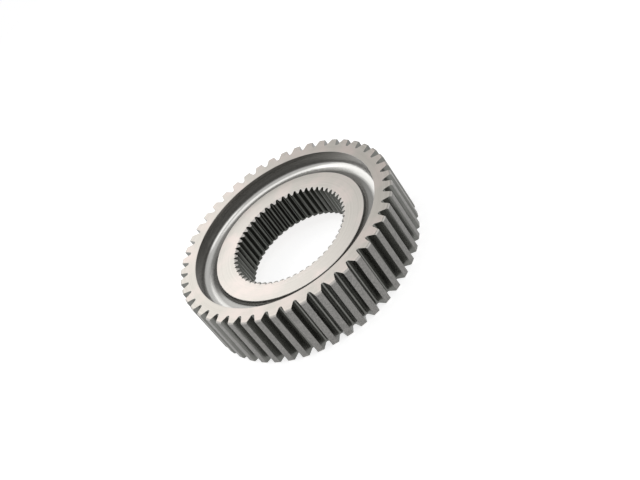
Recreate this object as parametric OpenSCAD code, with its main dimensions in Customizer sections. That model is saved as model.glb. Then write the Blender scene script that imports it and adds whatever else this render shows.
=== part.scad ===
// Transfer case sprocket for an inverted-tooth chain, in millimetres, standing on its back face.
// One piece of steel: a turned blank with a sunk hub, chain teeth cut straight across its rim,
// and a bore broached with fine splines. The Z axis is the shaft's axis, with z = 0 at the back face.

/* [Chain teeth] */
// Number of teeth round the rim
tooth_count = 47; // [42:1:72]
// Pitch of the chain, from link to link
chain_pitch = 7.9375; // [7:0.0125:12.7]
// Depth of a tooth gap below the tooth tips
tooth_depth = 4.5; // [3:0.1:6]
// Radius of the round bottom of a tooth gap
root_r = 0.95; // [0.5:0.05:1.4]
// Lean of each tooth flank from the middle of its gap, in degrees
flank_angle = 21.5; // [10:0.5:26]
// Edge break along each side of a tooth tip
tip_break = 0.3; // [0.1:0.05:0.5]
// Chamfer across both ends of a tooth tip
tip_chamfer = 0.5; // [0.2:0.05:0.5]

/* [Rim and web] */
// Width of the toothed rim, from face to face
rim_w = 31; // [24:0.5:50]
// Thickness of the rim between the tooth roots and the recess
rim_wall = 4.7; // [3:0.1:8]
// Width of the groove between the rim and the hub
groove_w = 8.7; // [5:0.1:12]
// Thickness of the web at the bottom of the grooves
web_t = 12.6; // [6:0.2:16]
// Fillet between the web and the rim
rim_fillet = 3.2; // [0.5:0.1:4]
// Fillet between the web and the hub
hub_fillet = 2.2; // [0.5:0.1:3]

/* [Hub and splines] */
// Length of the splined hub, which is sunk below both rim faces
hub_w = 19; // [17:0.2:23]
// Number of splines in the bore
spline_count = 55; // [30:1:64]
// Diameter over the spline crests, which is the clear bore
spline_minor_d = 59.4; // [44:0.1:62]
// Depth of a spline gap beyond the crests
spline_depth = 1.9; // [0.8:0.1:2.4]
// Radius of the round bottom of a spline gap
spline_root_r = 0.45; // [0.2:0.05:0.6]
// Lean of each spline flank from the middle of its gap, in degrees
spline_angle = 27; // [15:1:32]
// Width of the lead-in chamfer across both ends of the splines
spline_lead_w = 1.5; // [0.4:0.1:2.2]
// Depth of the lead-in chamfer along the splines
spline_lead = 0.7; // [0.2:0.1:2]

/* [Finish] */
// Chamfer on the other turned edges
edge_break = 0.4; // [0.1:0.05:0.8]

/* [Hidden] */
// Height of a tooth tip above the pitch line, as a share of the pitch, in the usual form of such a sprocket
TIP_RISE = 0.08;
// How far cutters run past the faces that they cut, and how far joined shapes run into each other
over = 1;
$fn = 96;
tip_r = chain_pitch * (1 / tan(180 / tooth_count) + TIP_RISE) / 2;
gap_root = tip_r - tooth_depth;
recess_r = gap_root - rim_wall;
hub_r = recess_r - groove_w;
bore_r = spline_minor_d / 2;
spline_root = bore_r + spline_depth;
hub_z = (rim_w - hub_w) / 2;
web_z = (rim_w - web_t) / 2;
// A fillet is never larger than the wall that it climbs, less the edge break on top
rim_fillet_r = min(rim_fillet, web_z - edge_break, groove_w / 2);
hub_fillet_r = min(hub_fillet, web_z - hub_z - edge_break, groove_w / 2);

// Section of a ring, from radius r0 to r1 and height z0 to z1, with all four corners chamfered:
// inner and outer hold the width and the depth of the chamfers next to the axis and away from it
module ring_section(r0, r1, z0, z1, inner, outer) {
    polygon([
        [r0 + inner.x, z0], [r1 - outer.x, z0], [r1, z0 + outer.y], [r1, z1 - outer.y],
        [r1 - outer.x, z1], [r0 + inner.x, z1], [r0, z1 - inner.y], [r0, z0 + inner.y],
    ]);
}

// Fillet in a corner at the origin, between a wall along +Y and a floor along +X
module corner_fillet(r) {
    difference() {
        translate([-over, -over])
            square(r + over);
        translate([r, r])
            circle(r);
    }
}

// The two fillets of the groove in the upper face, and the floor between them
module groove_floor() {
    translate([hub_r, rim_w - web_z])
        corner_fillet(hub_fillet_r);
    translate([recess_r, rim_w - web_z])
        mirror([1, 0])
            corner_fillet(rim_fillet_r);
}

// Half section of the turned blank, which is the same on both faces
module blank_section() {
    turned_edge = [edge_break, edge_break];
    ring_section(bore_r, hub_r, hub_z, rim_w - hub_z, [spline_lead_w, spline_lead], turned_edge);
    ring_section(recess_r, tip_r, 0, rim_w, turned_edge, [tip_chamfer, tip_chamfer]);
    translate([hub_r - over, web_z])
        square([groove_w + 2 * over, web_t]);
    groove_floor();
    translate([0, rim_w])
        mirror([0, 1])
            groove_floor();
}

// Outline of a gap with a round bottom about the origin and straight flanks that open along +X
module gap_outline(r, angle, reach) {
    tangent = [-r * sin(angle), r * cos(angle)];
    mouth = tangent.y + (reach - tangent.x) * tan(angle);
    circle(r);
    polygon([tangent, [reach, mouth], [reach, -mouth], [tangent.x, -tangent.y]]);
}

// Flare that breaks both tip edges of a gap, whose flanks reach the tip circle at the given half width
module tip_flare(half) {
    polygon([
        [-tip_break, -half], [-tip_break, half],
        [over, half + tip_break + over], [over, -half - tip_break - over],
    ]);
}

// One gap between two chain teeth, right across the rim
module tooth_gap() {
    centre = gap_root + root_r;
    rise = tip_r - tip_break - centre + root_r * sin(flank_angle);
    half = root_r * cos(flank_angle) + rise * tan(flank_angle);
    translate([0, 0, -over])
        linear_extrude(rim_w + 2 * over) {
            translate([centre, 0])
                gap_outline(root_r, flank_angle, tip_r - centre + over);
            translate([tip_r, 0])
                tip_flare(half);
        }
}

// One gap between two splines, right through the hub
module spline_gap() {
    translate([spline_root - spline_root_r, 0, hub_z - over])
        rotate([0, 0, 180])
            linear_extrude(hub_w + 2 * over)
                gap_outline(spline_root_r, spline_angle, spline_depth + over);
}

// Copies of a cutter round the axis, with the middle of a tooth left on +X
module around(count) {
    for (i = [0 : count - 1])
        rotate([0, 0, (i + 0.5) * 360 / count])
            children();
}

// The whole sprocket
module sprocket() {
    color("silver")
        difference() {
            rotate_extrude()
                blank_section();
            around(tooth_count)
                tooth_gap();
            around(spline_count)
                spline_gap();
        }
}

sprocket();
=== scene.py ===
import math

import bmesh
import bpy
from mathutils import Matrix, Vector


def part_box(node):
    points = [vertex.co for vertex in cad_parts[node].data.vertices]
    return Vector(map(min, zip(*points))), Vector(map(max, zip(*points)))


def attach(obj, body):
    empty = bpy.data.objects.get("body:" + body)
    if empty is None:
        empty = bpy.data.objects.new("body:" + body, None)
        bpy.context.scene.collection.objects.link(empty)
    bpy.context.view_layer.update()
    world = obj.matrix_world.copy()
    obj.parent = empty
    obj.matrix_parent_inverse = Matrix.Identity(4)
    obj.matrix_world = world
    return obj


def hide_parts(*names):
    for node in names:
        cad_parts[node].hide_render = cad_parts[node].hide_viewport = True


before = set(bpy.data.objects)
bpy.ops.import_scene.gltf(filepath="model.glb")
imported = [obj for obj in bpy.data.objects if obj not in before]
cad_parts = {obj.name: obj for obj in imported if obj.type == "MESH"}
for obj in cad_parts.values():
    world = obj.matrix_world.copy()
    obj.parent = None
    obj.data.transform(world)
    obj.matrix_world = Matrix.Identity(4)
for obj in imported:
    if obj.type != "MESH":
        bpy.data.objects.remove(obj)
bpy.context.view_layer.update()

# Turned blank. The sprocket is one forging of alloy steel, turned on both sides to a wide rim, a thinner
# web and a hub that lies below the rim faces. A round-nosed tool leaves large fillets in the two grooves.
MM = 0.001
FULL_TURN = 2 * math.pi
AXIS = (0, 0, 1)
CENTRE = (0, 0, 0)
WELD = 0.002 * MM
TOOTH_COUNT = 47
TOOTH_DEPTH = 4.5 * MM
RIM_WALL = 4.7 * MM
GROOVE_WIDTH = 8.7 * MM
GROOVE_EDGES_PER_TOOTH = 16
WEB_THICKNESS = 12.6 * MM
RIM_FILLET = 3.2 * MM
HUB_FILLET = 2.2 * MM
FILLET_STEPS = 8
DISH_DEGREES = 14
DISH_STEPS = 8
HUB_LENGTH = 19 * MM
COLLAR = 1.2 * MM
blank_low, blank_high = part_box("sprocket")
tip_radius = blank_high.x
middle = (blank_low.z + blank_high.z) / 2
rim_half = (blank_high.z - blank_low.z) / 2
hub_half = HUB_LENGTH / 2
web_half = WEB_THICKNESS / 2
root_radius = tip_radius - TOOTH_DEPTH
recess_radius = root_radius - RIM_WALL
hub_radius = recess_radius - GROOVE_WIDTH
groove_middle = (hub_radius + recess_radius) / 2


def arc(centre, radius, start, end, steps):
    """Points on a round stretch, from the start angle to the end angle in degrees."""
    angles = [math.radians(start + (end - start) * i / steps) for i in range(steps + 1)]
    return [(centre[0] + radius * math.cos(a), centre[1] + radius * math.sin(a)) for a in angles]


def draw_line(name, points):
    """A new object, left in edit mode, that is one line: a vertex extruded from point to point."""
    bpy.ops.mesh.primitive_plane_add(size=MM, location=CENTRE)
    bpy.context.object.name = name
    bpy.ops.object.mode_set(mode="EDIT")
    bpy.ops.mesh.merge(type="CENTER")
    bpy.ops.transform.translate(value=points[0])
    for start, end in zip(points, points[1:]):
        step = Vector(end) - Vector(start)
        bpy.ops.mesh.extrude_vertices_move(TRANSFORM_OT_translate={"value": step})
    bpy.ops.mesh.select_all(action="SELECT")
    return bpy.context.object


def turn_groove(name, side):
    """One groove between hub and rim, in front where side is 1 and behind where it is -1.
    A collar on each side of it starts the flat faces."""
    hub_corner = (hub_radius + HUB_FILLET, web_half + HUB_FILLET)
    rim_corner = (recess_radius - RIM_FILLET, web_half + RIM_FILLET)
    hub_side = arc(hub_corner, HUB_FILLET, 180, 270 - DISH_DEGREES, FILLET_STEPS)
    rim_side = arc(rim_corner, RIM_FILLET, 270 + DISH_DEGREES, 360, FILLET_STEPS)
    (inner, inner_height), (outer, outer_height) = hub_side[-1], rim_side[0]
    dish_lean = math.radians(DISH_DEGREES)
    dish_radius = (outer - inner) / 2 / math.sin(dish_lean)
    dish_height = (inner_height + outer_height) / 2 + dish_radius * math.cos(dish_lean)
    dish_middle = ((inner + outer) / 2, dish_height)
    dish = arc(dish_middle, dish_radius, 270 - DISH_DEGREES, 270 + DISH_DEGREES, DISH_STEPS)
    section = [(hub_radius - COLLAR, hub_half), (hub_radius, hub_half)]
    section += hub_side + dish[1:-1] + rim_side
    section += [(recess_radius, rim_half), (recess_radius + COLLAR, rim_half)]
    groove = draw_line(name, [(radius, 0, middle + side * height) for radius, height in section])
    steps = TOOTH_COUNT * GROOVE_EDGES_PER_TOOTH
    bpy.ops.mesh.spin(steps=steps, angle=FULL_TURN, center=CENTRE, axis=AXIS)
    bpy.ops.mesh.select_all(action="SELECT")
    bpy.ops.mesh.remove_doubles(threshold=WELD)
    bpy.ops.object.mode_set(mode="OBJECT")
    return groove


front_groove = turn_groove("front_groove", 1)
back_groove = turn_groove("back_groove", -1)

# Turned steel, darker and smoother than the ground faces: the tool leaves a fine thread of feed marks round
# the groove, which stretch each reflection. The rim side of the groove floor and its fillet is drawn paler,
# a painted highlight that brightens the streak along the fillet. The marks are drawn about five times as
# coarse as the real ones.
TURNED_LIGHT = "#92918E"
TURNED_DARK = "#767573"
HIGHLIGHT_BAND_LIGHT = "#BDBCB9"
HIGHLIGHT_BAND_DARK = "#A6A5A2"
HIGHLIGHT_BAND_FADE = 0.8 * MM
FEED_MARK = 1.6 * MM
FEED_DETAIL = 3
FEED_DEPTH = 0.02 * MM
FEED_RELIEF = 0.15
TURNED_SMOOTHEST = 0.22
TURNED_DULLEST = 0.28
TURNED_STRETCH = 0.5
QUARTER_TURN = 0.25
WITHOUT_HEIGHT = (1, 1, 0)
# A colour mix shares the names of its sockets with other kinds of mix, so they go by number.
MIX_SHARE = 0
MIX_FIRST = 6
MIX_SECOND = 7
MIX_COLOUR = 2


def linear(hex_colour):
    """The linear colour, with full opacity, of an sRGB hex value."""
    parts = [int(hex_colour[i:i + 2], 16) / 255 for i in (1, 3, 5)]
    return [c / 12.92 if c <= 0.04045 else ((c + 0.055) / 1.055) ** 2.4 for c in parts] + [1]


def add_node(tree, kind, inputs, **settings):
    """Adds a node with its settings; an input is its socket's value, or the output that is linked to it."""
    node = tree.nodes.new(kind)
    for name, setting in settings.items():
        setattr(node, name, setting)
    for socket, value in inputs.items():
        if isinstance(value, bpy.types.NodeSocket):
            tree.links.new(value, node.inputs[socket])
        else:
            node.inputs[socket].default_value = value
    return node


def new_material(name):
    """A new, empty material, and the output that gives a point's place on the piece."""
    material = bpy.data.materials.new(name)
    material.use_nodes = True
    material.node_tree.nodes.clear()
    return material, add_node(material.node_tree, "ShaderNodeTexCoord", {}).outputs["Object"]


def from_axis(tree, place):
    """The output that gives the distance of that place from the sprocket's axis."""
    flat = add_node(tree, "ShaderNodeVectorMath", {0: place, 1: WITHOUT_HEIGHT}, operation="MULTIPLY")
    length = add_node(tree, "ShaderNodeVectorMath", {0: flat.outputs["Vector"]}, operation="LENGTH")
    return length.outputs["Value"]


turned_steel, place = new_material("turned steel")
tree = turned_steel.node_tree
radius = from_axis(tree, place)
height = add_node(tree, "ShaderNodeSeparateXYZ", {"Vector": place}).outputs["Z"]
travel = add_node(tree, "ShaderNodeMath", {0: radius, 1: height}, operation="ADD")
marks = add_node(
    tree, "ShaderNodeTexNoise",
    {"W": travel.outputs["Value"], "Scale": 1 / FEED_MARK, "Detail": FEED_DETAIL}, noise_dimensions="1D",
).outputs["Fac"]
turned = add_node(
    tree, "ShaderNodeMix",
    {MIX_SHARE: marks, MIX_FIRST: linear(TURNED_DARK), MIX_SECOND: linear(TURNED_LIGHT)}, data_type="RGBA",
)
# The same feed marks in paler colours: a painted highlight.
highlight_band = add_node(
    tree, "ShaderNodeMix",
    {MIX_SHARE: marks, MIX_FIRST: linear(HIGHLIGHT_BAND_DARK), MIX_SECOND: linear(HIGHLIGHT_BAND_LIGHT)},
    data_type="RGBA",
)
above = add_node(tree, "ShaderNodeMath", {0: height, 1: middle}, operation="SUBTRACT")
from_middle = add_node(tree, "ShaderNodeMath", {0: above.outputs["Value"]}, operation="ABSOLUTE")
# Where the painted highlight lies: the rim side of the floor and the fillet, fading out before the wall.
towards_rim = add_node(
    tree, "ShaderNodeMapRange",
    {"Value": radius, "From Min": groove_middle - HIGHLIGHT_BAND_FADE, "From Max": groove_middle + HIGHLIGHT_BAND_FADE},
)
wall_foot = web_half + RIM_FILLET
below_wall = add_node(
    tree, "ShaderNodeMapRange",
    {
        "Value": from_middle.outputs["Value"],
        "From Min": wall_foot - HIGHLIGHT_BAND_FADE, "From Max": wall_foot - 2 * HIGHLIGHT_BAND_FADE,
    },
)
highlight_share = add_node(
    tree, "ShaderNodeMath", {0: towards_rim.outputs["Result"], 1: below_wall.outputs["Result"]},
    operation="MULTIPLY",
)
marked = add_node(
    tree, "ShaderNodeMix",
    {
        MIX_SHARE: highlight_share.outputs["Value"],
        MIX_FIRST: turned.outputs[MIX_COLOUR], MIX_SECOND: highlight_band.outputs[MIX_COLOUR],
    },
    data_type="RGBA",
)
dullness = add_node(
    tree, "ShaderNodeMapRange", {"Value": marks, "To Min": TURNED_SMOOTHEST, "To Max": TURNED_DULLEST},
)
relief = add_node(
    tree, "ShaderNodeBump", {"Height": marks, "Distance": FEED_DEPTH, "Strength": FEED_RELIEF},
)
round_axis = add_node(tree, "ShaderNodeTangent", {}, direction_type="RADIAL", axis="Z")
skin = add_node(
    tree, "ShaderNodeBsdfPrincipled",
    {
        "Base Color": marked.outputs[MIX_COLOUR], "Metallic": 1, "Roughness": dullness.outputs["Result"],
        "Anisotropic": TURNED_STRETCH, "Anisotropic Rotation": QUARTER_TURN,
        "Tangent": round_axis.outputs["Tangent"], "Normal": relief.outputs["Normal"],
    },
)
add_node(tree, "ShaderNodeOutputMaterial", {"Surface": skin.outputs["BSDF"]})

# Chain teeth. A hob cuts straight teeth across the rim, with leaning flanks and full round roots for the
# links of an inverted-tooth chain. One tooth is drawn, copied round the rim and drawn out to its width.
ROOT_ROUND = 0.95 * MM
FLANK_LEAN = math.radians(21.5)
ROOT_STEPS = 7
TIP_STEPS = 4


def half_gap(root, round_radius, lean, reach, outward, steps):
    """Half of a gap along +X, from its mouth on the reach circle to its round bottom at the root radius.
    It opens away from the axis where outward is 1, and towards it where outward is -1."""
    middle_x = root + outward * round_radius
    tangent = Vector((middle_x - outward * round_radius * math.sin(lean), -round_radius * math.cos(lean)))
    along = Vector((outward * math.cos(lean), -math.sin(lean)))
    lift = tangent.dot(along)
    run = -lift + outward * math.sqrt(lift**2 - tangent.length_squared + reach**2)
    first = math.degrees(math.atan2(tangent.y, tangent.x - middle_x))
    last = -180 if outward > 0 else 0
    return [tuple(tangent + run * along)] + arc((middle_x, 0), round_radius, first, last, steps)


def add_collar(wall, level, radius):
    """Draws the toothed edge at that level across the face and rounds it off to a circle."""
    bpy.ops.mesh.select_all(action="DESELECT")
    mesh = bmesh.from_edit_mesh(wall.data)
    for edge in mesh.edges:
        edge.select_set(edge.is_boundary and all(abs(v.co.z - level) < WELD for v in edge.verts))
    bmesh.update_edit_mesh(wall.data)
    bpy.ops.mesh.extrude_region_move()
    mesh = bmesh.from_edit_mesh(wall.data)
    for vertex in mesh.verts:
        if vertex.select:
            vertex.co.xy = vertex.co.xy.normalized() * radius
    bmesh.update_edit_mesh(wall.data)


def ring_of_teeth(name, count, half, reach, crest_steps, low, high, collar):
    """A toothed wall: one tooth on +X with half a gap on each side, copied round the axis and drawn upwards.
    A flat collar at each end, out to the given radius, starts the faces beside it."""
    turn = Matrix.Rotation(math.pi / count, 2)
    upper = [turn @ Vector(point) for point in half]
    lower = [Vector((point.x, -point.y)) for point in reversed(upper)]
    edge = math.degrees(math.atan2(upper[0].y, upper[0].x))
    crest = [Vector(point) for point in arc((0, 0), reach, -edge, edge, crest_steps)[1:-1]]
    wall = draw_line(name, [(point.x, point.y, low) for point in lower + crest + upper])
    bpy.ops.mesh.spin(steps=count, dupli=True, angle=FULL_TURN, center=CENTRE, axis=AXIS)
    bpy.ops.mesh.select_all(action="SELECT")
    bpy.ops.mesh.remove_doubles(threshold=WELD)
    bpy.ops.mesh.extrude_region_move(TRANSFORM_OT_translate={"value": (0, 0, high - low)})
    bpy.ops.mesh.select_mode(type="EDGE")
    for level in (low, high):
        add_collar(wall, level, collar)
    bpy.ops.mesh.select_mode(type="VERT")
    bpy.ops.object.mode_set(mode="OBJECT")
    return wall


tooth_half = half_gap(root_radius, ROOT_ROUND, FLANK_LEAN, tip_radius, outward=1, steps=ROOT_STEPS)
teeth = ring_of_teeth(
    "teeth", TOOTH_COUNT, tooth_half, tip_radius, TIP_STEPS,
    middle - rim_half, middle + rim_half, root_radius - COLLAR,
)

# Crest steel, the turned outside of the blank after hardening: mid grey, with a gritty sparkle of fine
# grains. The grains are drawn several times as coarse as real ones.
CREST_LIGHT = "#989693"
CREST_DARK = "#6B6B69"
CREST_GRAIN = 0.7 * MM
CREST_DETAIL = 4
DARKEST_GRAIN = 0.25
LIGHTEST_GRAIN = 0.75
CREST_SMOOTHEST = 0.35
CREST_DULLEST = 0.6
CREST_DEPTH = 0.03 * MM
CREST_RELIEF = 0.5
crest_steel, place = new_material("hardened crest steel")
tree = crest_steel.node_tree
grains = add_node(
    tree, "ShaderNodeTexNoise", {"Vector": place, "Scale": 1 / CREST_GRAIN, "Detail": CREST_DETAIL},
).outputs["Fac"]
speckle = add_node(
    tree, "ShaderNodeMapRange", {"Value": grains, "From Min": DARKEST_GRAIN, "From Max": LIGHTEST_GRAIN},
)
grained = add_node(
    tree, "ShaderNodeMix",
    {MIX_SHARE: speckle.outputs["Result"], MIX_FIRST: linear(CREST_DARK), MIX_SECOND: linear(CREST_LIGHT)},
    data_type="RGBA",
)
dullness = add_node(
    tree, "ShaderNodeMapRange", {"Value": grains, "To Min": CREST_SMOOTHEST, "To Max": CREST_DULLEST},
)
relief = add_node(
    tree, "ShaderNodeBump", {"Height": grains, "Distance": CREST_DEPTH, "Strength": CREST_RELIEF},
)
skin = add_node(
    tree, "ShaderNodeBsdfPrincipled",
    {
        "Base Color": grained.outputs[MIX_COLOUR], "Metallic": 1, "Roughness": dullness.outputs["Result"],
        "Normal": relief.outputs["Normal"],
    },
)
add_node(tree, "ShaderNodeOutputMaterial", {"Surface": skin.outputs["BSDF"]})

# Hobbed steel, fairly smooth and a little darker than the crests: the gaps look nearly black where their
# flanks mirror each other. Faint marks, drawn coarser than real ones, run along the teeth.
HOBBED_LIGHT = "#83837F"
HOBBED_DARK = "#636461"
HOB_MARK = 1.2 * MM
HOB_DETAIL = 4
HOB_STRETCH = (1, 1, 0.2)
HOBBED_SMOOTHEST = 0.2
HOBBED_DULLEST = 0.32
hobbed_steel, place = new_material("hobbed steel")
tree = hobbed_steel.node_tree
stretched = add_node(tree, "ShaderNodeVectorMath", {0: place, 1: HOB_STRETCH}, operation="MULTIPLY")
marks = add_node(
    tree, "ShaderNodeTexNoise",
    {"Vector": stretched.outputs["Vector"], "Scale": 1 / HOB_MARK, "Detail": HOB_DETAIL},
).outputs["Fac"]
marked = add_node(
    tree, "ShaderNodeMix",
    {MIX_SHARE: marks, MIX_FIRST: linear(HOBBED_DARK), MIX_SECOND: linear(HOBBED_LIGHT)}, data_type="RGBA",
)
dullness = add_node(
    tree, "ShaderNodeMapRange", {"Value": marks, "To Min": HOBBED_SMOOTHEST, "To Max": HOBBED_DULLEST},
)
skin = add_node(
    tree, "ShaderNodeBsdfPrincipled",
    {"Base Color": marked.outputs[MIX_COLOUR], "Metallic": 1, "Roughness": dullness.outputs["Result"]},
)
add_node(tree, "ShaderNodeOutputMaterial", {"Surface": skin.outputs["BSDF"]})

# Splines. A broach cuts fine straight splines through the hub, so that it slides on a splined shaft.
# They are drawn as the teeth are, with their gaps opening towards the axis.
SPLINE_COUNT = 55
BORE_RADIUS = 29.7 * MM
SPLINE_DEPTH = 1.9 * MM
SPLINE_ROUND = 0.45 * MM
SPLINE_LEAN = math.radians(27)
SPLINE_ROOT_STEPS = 5
SPLINE_CREST_STEPS = 2
spline_root = BORE_RADIUS + SPLINE_DEPTH
spline_half = half_gap(
    spline_root, SPLINE_ROUND, SPLINE_LEAN, BORE_RADIUS, outward=-1, steps=SPLINE_ROOT_STEPS,
)
splines = ring_of_teeth(
    "splines", SPLINE_COUNT, spline_half, BORE_RADIUS, SPLINE_CREST_STEPS,
    middle - hub_half, middle + hub_half, spline_root + COLLAR,
)

# Broached steel, dark and smooth, with streaks along the broach's travel. The dark is partly the steel's own
# and partly painted shade, for the shade inside the bore. The streaks are drawn coarser than real ones.
# Both streak colours are darkened as painted shade of the bore.
BROACHED_SHADED_LIGHT = "#62635F"
BROACHED_SHADED_DARK = "#40423E"
BROACH_STREAK = 0.8 * MM
BROACH_DETAIL = 3
BROACH_STRETCH = (1, 1, 0.1)
BROACHED_SMOOTHEST = 0.2
BROACHED_DULLEST = 0.3
shaded_broached_steel, place = new_material("broached steel with painted shade")
tree = shaded_broached_steel.node_tree
stretched = add_node(tree, "ShaderNodeVectorMath", {0: place, 1: BROACH_STRETCH}, operation="MULTIPLY")
streaks = add_node(
    tree, "ShaderNodeTexNoise",
    {"Vector": stretched.outputs["Vector"], "Scale": 1 / BROACH_STREAK, "Detail": BROACH_DETAIL},
).outputs["Fac"]
streaked = add_node(
    tree, "ShaderNodeMix",
    {MIX_SHARE: streaks, MIX_FIRST: linear(BROACHED_SHADED_DARK), MIX_SECOND: linear(BROACHED_SHADED_LIGHT)},
    data_type="RGBA",
)
dullness = add_node(
    tree, "ShaderNodeMapRange",
    {"Value": streaks, "To Min": BROACHED_SMOOTHEST, "To Max": BROACHED_DULLEST},
)
skin = add_node(
    tree, "ShaderNodeBsdfPrincipled",
    {"Base Color": streaked.outputs[MIX_COLOUR], "Metallic": 1, "Roughness": dullness.outputs["Result"]},
)
add_node(tree, "ShaderNodeOutputMaterial", {"Surface": skin.outputs["BSDF"]})

# Faces and edges. The rim and hub faces are ground flat between the toothed walls and the grooves, which
# makes the steel one closed body. Tooth tips and splines have chamfered ends, and every edge is broken.
TIP_CHAMFER = 0.5 * MM
LEAD_WIDTH = 1.5 * MM
LEAD_DEPTH = 0.7 * MM
RIM_EDGE = 0.2 * MM
RECESS_EDGE = 0.12 * MM
HUB_EDGE = 0.25 * MM
SPLINE_EDGE = 0.1 * MM
EDGE_STEPS = 2
SHARP = math.radians(20)
SLACK = 0.01 * MM
bpy.ops.object.select_all(action="DESELECT")
for wall in (front_groove, back_groove, teeth, splines):
    wall.select_set(True)
bpy.context.view_layer.objects.active = front_groove
bpy.ops.object.join()
sprocket = bpy.context.object
sprocket.name = "sprocket_steel"
sprocket.data.name = "sprocket_steel"
bpy.ops.object.mode_set(mode="EDIT")
bpy.ops.mesh.select_mode(type="EDGE")


def select_edges(wanted):
    """Selects the edges of the mesh in edit mode for which wanted is true."""
    mesh = bmesh.from_edit_mesh(sprocket.data)
    for edge in mesh.edges:
        edge.select_set(wanted(edge))
    bmesh.update_edit_mesh(sprocket.data)


for level in (middle + rim_half, middle - rim_half, middle + hub_half, middle - hub_half):
    bpy.ops.mesh.select_all(action="DESELECT")
    select_edges(lambda edge: edge.is_boundary and all(abs(v.co.z - level) < SLACK for v in edge.verts))
    bpy.ops.mesh.fill(use_beauty=True)
bpy.ops.mesh.select_all(action="SELECT")
bpy.ops.mesh.normals_make_consistent(inside=False)


def chamfer_crests(on_crest, half, width, depth):
    """Chamfers both ends of the crests by the given width across the face and depth along the axis."""
    for side in (-1, 1):
        end = middle + side * half
        select_edges(lambda edge: all(on_crest(v) and abs(v.co.z - end) < SLACK for v in edge.verts))
        bpy.ops.mesh.bevel(offset=width, segments=1, affect="EDGES", clamp_overlap=False)
        cut = end - side * width
        select_edges(lambda edge: all(on_crest(v) and abs(v.co.z - cut) < SLACK for v in edge.verts))
        bpy.ops.transform.translate(value=(0, 0, side * (width - depth)))


def edge_radius(edge):
    """The distance of the edge's outer end from the axis."""
    return max(vertex.co.xy.length for vertex in edge.verts)


chamfer_crests(lambda v: v.co.xy.length > tip_radius - SLACK, rim_half, TIP_CHAMFER, TIP_CHAMFER)
chamfer_crests(lambda v: v.co.xy.length < BORE_RADIUS + SLACK, hub_half, LEAD_WIDTH, LEAD_DEPTH)
spline_limit = spline_root + SPLINE_EDGE
edge_breaks = [
    (root_radius - COLLAR, math.inf, RIM_EDGE),
    (groove_middle, root_radius - COLLAR, RECESS_EDGE),
    (spline_limit, groove_middle, HUB_EDGE),
    (0, spline_limit, SPLINE_EDGE),
]
for inner, outer, width in edge_breaks:
    bpy.ops.mesh.select_all(action="DESELECT")
    bpy.ops.mesh.edges_select_sharp(sharpness=SHARP)
    select_edges(lambda edge: edge.select and inner < edge_radius(edge) <= outer)
    bpy.ops.mesh.bevel(offset=width, segments=EDGE_STEPS, affect="EDGES", clamp_overlap=False)
bpy.ops.object.mode_set(mode="OBJECT")
bpy.ops.object.shade_smooth_by_angle(angle=SHARP)
flatten = sprocket.modifiers.new("flat faces stay flat", "WEIGHTED_NORMAL")
flatten.keep_sharp = True
bpy.ops.object.modifier_apply(modifier=flatten.name)

# Ground steel, bright but satin: the grinding wheel leaves fine rings round the axis, and handling leaves
# warm, cloudy patches. The hub's face is paler than the rim's. The real rings are about a twentieth of a
# millimetre apart; here they are drawn far coarser.
GROUND_RING = 0.8 * MM
RING_DETAIL = 3
RING_DEPTH = 0.02 * MM
RING_RELIEF = 0.5
GROUND_CLOUD = 14 * MM
CLOUD_DETAIL = 4
CLOUD_START = 0.45
CLOUD_FULL = 0.65
CLOUD_SHARE = 0.6


def ground_steel(name, light, dark, warm, smoothest, dullest):
    """A ground finish, with rings from dark to light, patches of the warm colour and its range of gloss."""
    material, place = new_material(name)
    tree = material.node_tree
    rings = add_node(
        tree, "ShaderNodeTexNoise",
        {"W": from_axis(tree, place), "Scale": 1 / GROUND_RING, "Detail": RING_DETAIL},
        noise_dimensions="1D",
    ).outputs["Fac"]
    clouds = add_node(
        tree, "ShaderNodeTexNoise", {"Vector": place, "Scale": 1 / GROUND_CLOUD, "Detail": CLOUD_DETAIL},
    )
    ringed = add_node(
        tree, "ShaderNodeMix",
        {MIX_SHARE: rings, MIX_FIRST: linear(dark), MIX_SECOND: linear(light)}, data_type="RGBA",
    )
    clouded = add_node(
        tree, "ShaderNodeMapRange",
        {
            "Value": clouds.outputs["Fac"],
            "From Min": CLOUD_START, "From Max": CLOUD_FULL, "To Max": CLOUD_SHARE,
        },
    )
    warmed = add_node(
        tree, "ShaderNodeMix",
        {
            MIX_SHARE: clouded.outputs["Result"],
            MIX_FIRST: ringed.outputs[MIX_COLOUR], MIX_SECOND: linear(warm),
        },
        data_type="RGBA",
    )
    dullness = add_node(
        tree, "ShaderNodeMapRange", {"Value": rings, "To Min": smoothest, "To Max": dullest},
    )
    relief = add_node(
        tree, "ShaderNodeBump", {"Height": rings, "Distance": RING_DEPTH, "Strength": RING_RELIEF},
    )
    skin = add_node(
        tree, "ShaderNodeBsdfPrincipled",
        {
            "Base Color": warmed.outputs[MIX_COLOUR], "Metallic": 1,
            "Roughness": dullness.outputs["Result"], "Normal": relief.outputs["Normal"],
        },
    )
    add_node(tree, "ShaderNodeOutputMaterial", {"Surface": skin.outputs["BSDF"]})
    return material


rim_steel = ground_steel(
    "ground rim steel", light="#ADA9A3", dark="#96928B", warm="#B3A7A2", smoothest=0.28, dullest=0.38,
)
hub_steel = ground_steel(
    "ground hub steel", light="#BBB7B1", dark="#A19D97", warm="#C0B4AF", smoothest=0.32, dullest=0.42,
)

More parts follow.
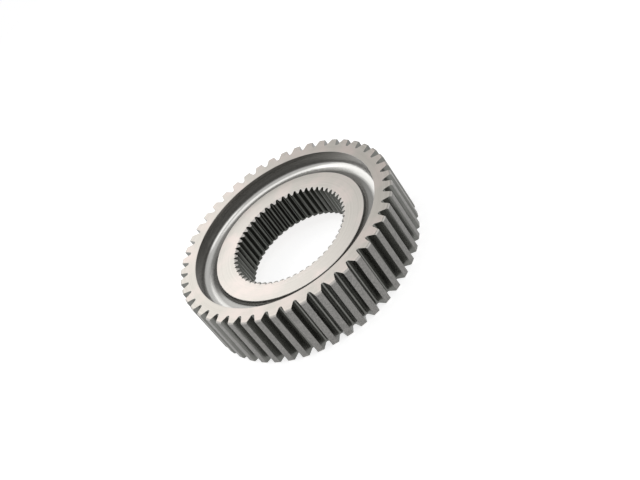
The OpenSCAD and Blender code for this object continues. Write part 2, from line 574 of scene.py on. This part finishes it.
# Edge steel, bare and dull where a brush took the burrs off: every edge shows as a thin pale line. The
# brush's scratches are drawn coarser than real ones.
EDGE_LIGHT = "#B0ADA9"
EDGE_DARK = "#969390"
EDGE_SCRATCH = 0.9 * MM
SCRATCH_DETAIL = 3
EDGE_DULLNESS = 0.55
edge_steel, place = new_material("deburred edge steel")
tree = edge_steel.node_tree
scratches = add_node(
    tree, "ShaderNodeTexNoise", {"Vector": place, "Scale": 1 / EDGE_SCRATCH, "Detail": SCRATCH_DETAIL},
)
scratched = add_node(
    tree, "ShaderNodeMix",
    {MIX_SHARE: scratches.outputs["Fac"], MIX_FIRST: linear(EDGE_DARK), MIX_SECOND: linear(EDGE_LIGHT)},
    data_type="RGBA",
)
skin = add_node(
    tree, "ShaderNodeBsdfPrincipled",
    {"Base Color": scratched.outputs[MIX_COLOUR], "Metallic": 1, "Roughness": EDGE_DULLNESS},
)
add_node(tree, "ShaderNodeOutputMaterial", {"Surface": skin.outputs["BSDF"]})

# Finishes. Each cut leaves its own skin on the same steel, so the one mesh carries all seven finishes. They
# are given to its faces by their place and by how far their normals lean towards the axis.
FLAT = 0.999
SLOPING = 0.5
UPRIGHT = 0.1


def finish_of(face):
    """The finish of the cut that made the face."""
    distance = face.center.xy.length
    height = abs(face.center.z - middle)
    lean = abs(face.normal.z)
    if lean > FLAT and height > hub_half - SLACK:
        return rim_steel if distance > groove_middle else hub_steel
    if hub_radius - SLACK < distance < recess_radius + SLACK and height < hub_half - HUB_EDGE:
        return turned_steel
    if distance < spline_root and height > hub_half - LEAD_DEPTH and lean > SLOPING:
        return edge_steel
    if distance < spline_root + SLACK:
        return shaded_broached_steel
    if distance > tip_radius - RIM_EDGE and lean < UPRIGHT:
        return crest_steel
    if root_radius - RIM_EDGE < distance < tip_radius - TIP_CHAMFER:
        return hobbed_steel
    if hub_radius < distance < recess_radius + SLACK and lean < UPRIGHT:
        return turned_steel
    return edge_steel


finishes = [rim_steel, hub_steel, turned_steel, crest_steel, hobbed_steel, shaded_broached_steel, edge_steel]
for finish in finishes:
    sprocket.data.materials.append(finish)
for face in sprocket.data.polygons:
    face.material_index = finishes.index(finish_of(face))
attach(sprocket, "root")
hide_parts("sprocket")

# Floor. A wide sheet of white studio paper under the sprocket, on which only a soft shadow shows. It glows
# for the camera and in mirrors, more so far from the sprocket, where it runs into the white room.
FLOOR_SIZE = 6.0
FLOOR_DROP = 0.02 * MM
PAPER_COLOUR = "#CFCFCF"
WHITE = "#FFFFFF"
NEAR_GLOW = 0.75
FAR_GLOW = 0.93
NEAR_REACH = 0.25
FAR_REACH = 1.2
bpy.ops.mesh.primitive_plane_add(size=FLOOR_SIZE, location=(0, 0, blank_low.z - FLOOR_DROP))
floor = bpy.context.object
floor.name = "floor"


def seen_directly(tree):
    """The output that is 1 where the camera, a mirror or glass looks, and 0 where light is gathered."""
    path = add_node(tree, "ShaderNodeLightPath", {})
    camera_or_mirror = add_node(
        tree, "ShaderNodeMath", {0: path.outputs["Is Camera Ray"], 1: path.outputs["Is Glossy Ray"]},
        operation="MAXIMUM",
    )
    or_glass = add_node(
        tree, "ShaderNodeMath",
        {0: camera_or_mirror.outputs["Value"], 1: path.outputs["Is Transmission Ray"]}, operation="MAXIMUM",
    )
    return or_glass.outputs["Value"]


paper, place = new_material("white studio paper")
tree = paper.node_tree
reach = add_node(tree, "ShaderNodeVectorMath", {0: place}, operation="LENGTH")
whiteness = add_node(
    tree, "ShaderNodeMapRange",
    {
        "Value": reach.outputs["Value"], "From Min": NEAR_REACH, "From Max": FAR_REACH,
        "To Min": NEAR_GLOW, "To Max": FAR_GLOW,
    },
)
glow = add_node(
    tree, "ShaderNodeMath", {0: seen_directly(tree), 1: whiteness.outputs["Result"]}, operation="MULTIPLY",
)
sheet = add_node(
    tree, "ShaderNodeBsdfPrincipled",
    {
        "Base Color": linear(PAPER_COLOUR), "Roughness": 1, "Specular IOR Level": 0,
        "Emission Color": linear(WHITE), "Emission Strength": glow.outputs["Value"],
    },
)
add_node(tree, "ShaderNodeOutputMaterial", {"Surface": sheet.outputs["BSDF"]})
floor.data.materials.append(paper)

# Light. A white room with three soft boxes: one near by on the left, which brightens that side of the
# faces, one overhead and one on the right, which draw the bright streaks in the groove.
ROOM_LIGHT = 0.15
world = bpy.context.scene.world or bpy.data.worlds.new("studio")
bpy.context.scene.world = world
world.use_nodes = True
tree = world.node_tree
tree.nodes.clear()
room = add_node(
    tree, "ShaderNodeMapRange", {"Value": seen_directly(tree), "To Min": ROOM_LIGHT, "To Max": 1},
)
walls = add_node(tree, "ShaderNodeBackground", {"Color": linear(WHITE), "Strength": room.outputs["Result"]})
add_node(tree, "ShaderNodeOutputWorld", {"Surface": walls.outputs["Background"]})


def add_softbox(name, towards, distance, width, height, radiance):
    """A soft box that faces the sprocket from the given direction, with the power for that radiance."""
    spot = Vector(towards).normalized() * distance
    facing = spot.to_track_quat("Z", "Y").to_euler()
    bpy.ops.object.light_add(type="AREA", location=spot, rotation=facing)
    lamp = bpy.context.object
    lamp.name = name
    lamp.data.shape = "RECTANGLE"
    lamp.data.size = width
    lamp.data.size_y = height
    lamp.data.energy = radiance * math.pi * width * height


add_softbox(
    "left_softbox", towards=(-0.704, -0.511, 0.493), distance=0.45, width=0.6, height=0.52, radiance=1.2,
)
add_softbox(
    "top_softbox", towards=(-0.08, -0.12, 0.99), distance=0.7, width=0.55, height=0.9, radiance=1.05,
)
add_softbox(
    "right_softbox", towards=(0.5, 0.75, 0.47), distance=0.7, width=0.7, height=0.5, radiance=1.15,
)

# Camera. It looks down on the front face from half a metre away, through a slightly long lens. It is rolled
# to one side, so that the sprocket leans in the picture.
AIM = Vector((28.67 * MM, 8.85 * MM, blank_high.z))
DISTANCE = 490 * MM
AZIMUTH = math.radians(-3.67)
ELEVATION = math.radians(36.115)
ROLL = math.radians(-36.867)
LENS_MM = 59.045
away = Vector((
    math.cos(ELEVATION) * math.cos(AZIMUTH),
    math.cos(ELEVATION) * math.sin(AZIMUTH),
    math.sin(ELEVATION),
))
upright = away.to_track_quat("Z", "Y").to_matrix()
view = upright @ Matrix.Rotation(ROLL, 3, "Z")
bpy.ops.object.camera_add(location=AIM + DISTANCE * away, rotation=view.to_euler())
camera = bpy.context.object
camera.data.lens = LENS_MM
bpy.context.scene.camera = camera
bpy.context.scene.view_settings.view_transform = "Standard"
